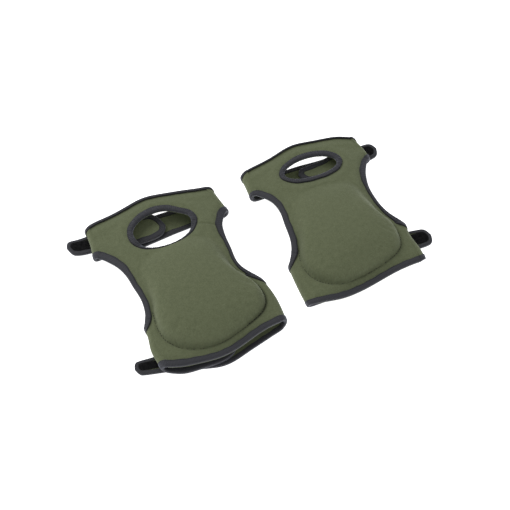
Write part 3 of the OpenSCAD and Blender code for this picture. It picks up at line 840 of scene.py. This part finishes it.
wrap_flat = {
    "left": {"upper_strap": (0.042, 0.217, 0.0084), "upper_wing": (0.043, 0.114, 0.0048),
             "lower_strap": (0.057, 0.206, 0.0105), "lower_wing": (0.057, 0.116, 0.0063)},
    "right": {"upper_strap": (0.040, 0.210, 0.0077), "upper_wing": (0.036, 0.112, 0.0038),
              "lower_strap": (0.053, 0.205, 0.0098), "lower_wing": (0.048, 0.113, 0.0050)},
}
wing_tape, strap_tape, tab_tape, wrap_rise = 7.0, 6.0, 4.6, 0.66
for side, pad in pads.items():
    for kind in wrap_flat[side]:
        strap = kind.endswith("strap")
        facts = wrap_facts(side, kind)
        columns = 24
        run = np.r_[0, np.cumsum(np.hypot(np.diff(facts["x"]), np.diff(facts["z"])))]
        flat_x = (-1 if strap else 1) * (abs(facts["x"][0]) + run)
        across = np.linspace(facts["low"], facts["high"], columns, axis=1)
        x, z, flat_x = (np.repeat(line[:, None], columns, 1)
                        for line in (facts["x"], facts["z"], flat_x))
        points = np.stack([x, across, z], -1).reshape(-1, 3)
        faces = grid_faces(len(run), columns)
        if (out_of(points, faces) * np.repeat(facts["out"], columns, 0)).sum() < 0:
            faces = [tuple(reversed(f)) for f in faces]
        cloth = np.stack([flat_x, across], -1).reshape(-1, 2) / 1000
        solid, solid_faces, cloth = thickened(points, faces, sheet_thick, cloth)
        wrap = made_piece(f"{side}_{kind}_band", side, solid, solid_faces, jersey, cloth,
                          recalculate=True)
        body = f"{side}_{kind}"
        start, end = blend_span(facts, strap)
        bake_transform(wrap)
        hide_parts(body)

        # the cover's tape, folded over the wrap's edges and round its end
        low = np.column_stack([facts["x"], facts["low"], facts["z"], facts["out"],
                               facts["turn"]])
        high = low.copy()
        high[:, 1] = facts["high"]
        rim, rim_run = spaced(np.vstack([low, high[::-1]]), 0.6)
        normal = unit(rim[:, 3:6])
        inward_way = unit(np.cross(normal, unit(np.gradient(rim[:, :3], axis=0))))
        if inward_way[0, 1] < 0:
            inward_way = -inward_way

        def reach(inward, rim=rim, normal=normal, inward_way=inward_way):
            return rim[:, :3] + inward_way * np.reshape(inward, (-1, 1)), normal

        settled = eased(rim[:, 6] * 1.6)
        first = np.full(len(rim), front_tape)
        first[(rim_run > rim_run[-1] / 2) == kind.startswith("upper")] = \
            pad["top_tape" if kind.startswith("upper") else "low_tape"]
        last = between(strap_tape, tab_tape, (rim[:, 0] - 64) / 14) if strap else wing_tape
        width = first + (last - first) * settled
        edge_rise = face_rise + (wrap_rise - face_rise) * settled
        inner_rise = hidden_rise + (wrap_rise - hidden_rise) * settled
        tape_piece = bound(kind, side, body, reach, -inward_way, rim_run, width, edge_rise,
                           inner_rise)
        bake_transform(tape_piece)


# --- Sewing --------------------------------------------------------------------
# Dark green twisted thread. One row holds each side of every tape, and a heavier
# row closes the cushion's groove along its lower part.
class Maker:
    """A tree of geometry nodes. add() takes the type, its settings, then its sockets."""

    def __init__(self, name, takes, sizes, finish):
        self.tree = bpy.data.node_groups.new(name, "GeometryNodeTree")
        given = [(takes, "Geometry")] + [(size, "Float") for size in sizes]
        for label, kind in given + [(finish, "Material"), ("Made", "Geometry")]:
            self.tree.interface.new_socket(label, in_out="OUTPUT" if label == "Made" else "INPUT",
                                           socket_type="NodeSocket" + kind)
        self.given = self.tree.nodes.new("NodeGroupInput").outputs

    def add(self, kind, settings=None, **sockets):
        made = self.tree.nodes.new(kind)
        for key, value in (settings or {}).items():
            setattr(made, key, value)
        for key, value in sockets.items():
            socket = made.inputs[key.replace("_", " ")]
            if isinstance(value, bpy.types.NodeSocket):
                self.tree.links.new(value, socket)
            else:
                socket.default_value = value
        return made

    def varied(self, kind, low, high, seed):
        made = self.add("FunctionNodeRandomValue", {"data_type": kind}, Seed=seed)
        first = 0 if kind == "FLOAT_VECTOR" else 2
        made.inputs[first].default_value, made.inputs[first + 1].default_value = low, high
        return made.outputs[first // 2]

    def finished(self, geometry, finish):
        coloured = self.add("GeometryNodeSetMaterial", Geometry=geometry.outputs[0],
                            Material=self.given[finish])
        end = self.tree.nodes.new("NodeGroupOutput")
        self.tree.links.new(coloured.outputs[0], end.inputs[0])
        return self.tree


def stitch_nodes():
    """Short capsules of thread set end to end along every line of the mesh."""
    row = Maker("stitch_row", "Lines", ("Pitch", "Stitch Length", "Thread Width"), "Thread")
    line = row.add("GeometryNodeMeshToCurve", Mesh=row.given["Lines"])
    even = row.add("GeometryNodeResampleCurve", {"mode": "LENGTH"}, Curve=line.outputs[0],
                   Length=row.given["Pitch"])
    ball = row.add("GeometryNodeMeshUVSphere", Segments=6, Rings=5, Radius=0.5)
    sizes = row.add("ShaderNodeCombineXYZ", X=row.given["Stitch Length"],
                    Y=row.given["Thread Width"], Z=row.given["Thread Width"])
    stitch = row.add("GeometryNodeTransform", Geometry=ball.outputs["Mesh"],
                     Scale=sizes.outputs[0])
    ahead = row.add("GeometryNodeInputTangent")
    aim = row.add("FunctionNodeAlignRotationToVector", {"axis": "X"}, Vector=ahead.outputs[0])
    sewn = row.add("GeometryNodeInstanceOnPoints", Points=even.outputs[0],
                   Instance=stitch.outputs[0], Rotation=aim.outputs[0],
                   Scale=row.varied("FLOAT", 0.88, 1.05, 7))
    real = row.add("GeometryNodeRealizeInstances", Geometry=sewn.outputs[0])
    return row.finished(row.add("GeometryNodeSetShadeSmooth", Geometry=real.outputs[0]),
                        "Thread")


def worked(name, mesh, tree, inputs):
    """Runs a node tree over a mesh and keeps the result as a plain mesh."""
    piece = bpy.data.objects.new(name, mesh)
    bpy.context.scene.collection.objects.link(piece)
    maker = piece.modifiers.new("maker", "NODES")
    maker.node_group = tree
    for item in tree.interface.items_tree:
        if item.name in inputs:
            maker[item.identifier] = inputs[item.name]
    plain = bpy.data.meshes.new_from_object(
        piece.evaluated_get(bpy.context.evaluated_depsgraph_get()))
    piece.modifiers.clear()
    piece.data = plain
    plain.name = name
    return piece


def flecked(name, dark, light, scale, detail, strength, depth, **surface):
    """A fine mottled finish with the same fleck in its colour and its bump."""
    made = Finish(name)
    fleck = made.node("TexNoise", {}, {"Vector": made.node("TexCoord", out=3), "Scale": scale,
                                       "Detail": detail})
    bump = made.node("Bump", {}, {"Strength": strength, "Distance": depth, "Height": fleck})
    made.shine(made.blend(fleck, dark, light), bump, **surface)
    return made


thread = flecked("dark_green_thread", (0.006, 0.007, 0.005, 1), (0.022, 0.025, 0.016, 1),
                 1500.0, 1.0, 0.4, 0.0002, Roughness=0.6, Specular_IOR_Level=0.35)
stitch_tree = stitch_nodes()


def sewn_rows(name, side, rows, pitch, length, width):
    points, lines, at = [], [], 0
    for row in rows:
        row, _ = spaced(np.asarray(row), 1.2)
        points.append(row)
        lines += [(at + k, at + k + 1) for k in range(len(row) - 1)]
        at += len(row)
    mesh = bpy.data.meshes.new(name)
    mesh.from_pydata(placed(side, np.vstack(points)).tolist(), lines, [])
    piece = worked(name, mesh, stitch_tree, {
        "Pitch": pitch, "Stitch Length": length, "Thread Width": width,
        "Thread": thread.material})
    return piece


tape_sewing, groove_sewing = (0.0030, 0.0022, 0.00045), (0.0036, 0.0029, 0.0009)
groove_top, groove_foot, shortest_row = -42, -99, 8
for side, pad in pads.items():
    ring, _ = spaced(np.vstack([cushion_loop, cushion_loop[:1]]), 1.0)
    ahead = unit(np.gradient(ring, axis=0))
    away = np.stack([-ahead[:, 1], ahead[:, 0]], 1)
    away = away * np.sign((away * (ring - cushion_middle)).sum(1).mean())
    x, y = (ring + away * 0.7).T
    gap_from, gap_to = pad["groove_gap"]
    bare = (y >= groove_top) | ((y < groove_foot) & (x > gap_from) & (x < gap_to))
    rows = []
    for run in np.split(np.arange(len(ring)), np.nonzero(bare)[0]):
        if len(run) > shortest_row:
            run = run[y[run] < groove_top]
            points, normal = face_point(pad, x[run], y[run])
            rows.append(points - normal * groove_sew)
    groove_row = sewn_rows(side + "_groove_stitches", side, rows, *groove_sewing)
    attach(groove_row, side + "_pad")
    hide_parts(side + "_cushion_stitching")
    tape_rows = sewn_rows(side + "_pad_tape_stitches", side, sewing_lines[side + "_pad"],
                          *tape_sewing)
    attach(tape_rows, side + "_pad")
    bindings[side + "_pad"] + [groove_row, tape_rows]
    for kind in wrap_flat[side]:
        body = f"{side}_{kind}"
        facts = wrap_facts(side, kind)
        start, end = blend_span(facts, kind.endswith("strap"))
        rows = sewn_rows(body + "_tape_stitches", side, sewing_lines[body], *tape_sewing)
        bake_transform(rows)
        width, length, area = wrap_flat[side][kind]
        bindings[body] + [rows]

# --- Hook patches ----------------------------------------------------------------
# A round-ended piece of black nylon hook tape sewn on each tab, hooks upwards.
hook_nylon = flecked("black_hook_tape", (0.001, 0.001, 0.0012, 1), (0.006, 0.006, 0.007, 1),
                     900.0, 2.0, 0.5, 0.0003, Roughness=0.75, Specular_IOR_Level=0.15)


def hook_nodes():
    """Scatters small tapered hooks over a face, each leaning its own way."""
    pile = Maker("hook_pile", "Tape", ("Density", "Hook Height", "Hook Width"), "Nylon")
    spread = pile.add("GeometryNodeDistributePointsOnFaces", Mesh=pile.given["Tape"],
                      Density=pile.given["Density"], Seed=11)
    spike = pile.add("GeometryNodeMeshCone", Vertices=5, Radius_Top=0.28, Radius_Bottom=0.5,
                     Depth=1.0)
    sizes = pile.add("ShaderNodeCombineXYZ", X=pile.given["Hook Width"],
                     Y=pile.given["Hook Width"], Z=pile.given["Hook Height"])
    hook = pile.add("GeometryNodeTransform", Geometry=spike.outputs["Mesh"],
                    Scale=sizes.outputs[0])
    sown = pile.add("GeometryNodeInstanceOnPoints", Points=spread.outputs["Points"],
                    Instance=hook.outputs[0],
                    Rotation=pile.varied("FLOAT_VECTOR", (-0.45, -0.45, 0.0),
                                         (0.45, 0.45, 3.0), 5))
    return pile.finished(pile.add("GeometryNodeRealizeInstances", Geometry=sown.outputs[0]),
                         "Nylon")


hook_tree = hook_nodes()
patch_from, patch_base, patch_gap = 78.0, 0.55, 0.2
hook_height, hook_width, hooks_per_m2 = 0.62, 0.00042, 1.1e6
patch_bed = strap_bed + sheet_thick
for side, pad in pads.items():
    for kind, tip, middle, half in zip(("upper", "lower"), pad["tab_reach"], pad["tab"],
                                       pad["tab_half"]):
        patch_half = half - tab_tape + patch_gap
        end_x = tip - tab_tape + patch_gap - patch_half
        turn = np.radians(np.linspace(-90, 90, 17))
        rim = np.vstack([[(patch_from, middle - patch_half)],
                         np.column_stack([end_x + patch_half * np.cos(turn),
                                          middle + patch_half * np.sin(turn)]),
                         [(patch_from, middle + patch_half)]])
        rim, _ = spaced(rim, 1.5, closed=True)
        centre = rim.mean(0)
        count = len(rim)

        def ring_at(share, height):
            return np.column_stack([centre + (rim - centre) * share,
                                    np.full(count, patch_bed + height)])

        layers = [(1.0, -0.1), (1.0, patch_base - 0.15), (0.985, patch_base), (0.6, patch_base)]
        points = np.vstack([ring_at(*layer) for layer in layers]
                           + [[(*centre, patch_bed + patch_base)], [(*centre, patch_bed - 0.1)]])
        last = len(points) - 2
        faces = []
        for c in range(count):
            d = (c + 1) % count
            faces += [(k * count + c, k * count + d, (k + 1) * count + d, (k + 1) * count + c)
                      for k in range(3)]
            faces += [(3 * count + c, 3 * count + d, last), (d, c, last + 1)]
        body = f"{side}_{kind}_strap"
        patch = made_piece(f"{side}_{kind}_hook_tape", side, points, faces, hook_nylon,
                           recalculate=True)
        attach(patch, body)
        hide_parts(f"{side}_{kind}_hook_patch")
        bed = bpy.data.meshes.new("bed")
        bed_points = ring_at(0.95, patch_base + hook_height * 0.42)
        bed.from_pydata(placed(side, bed_points).tolist(), [], [tuple(range(count))])
        pile = worked(f"{side}_{kind}_hook_pile", bed, hook_tree, {
            "Density": hooks_per_m2, "Hook Height": hook_height / 1000,
            "Hook Width": hook_width, "Nylon": hook_nylon.material})
        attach(pile, body)
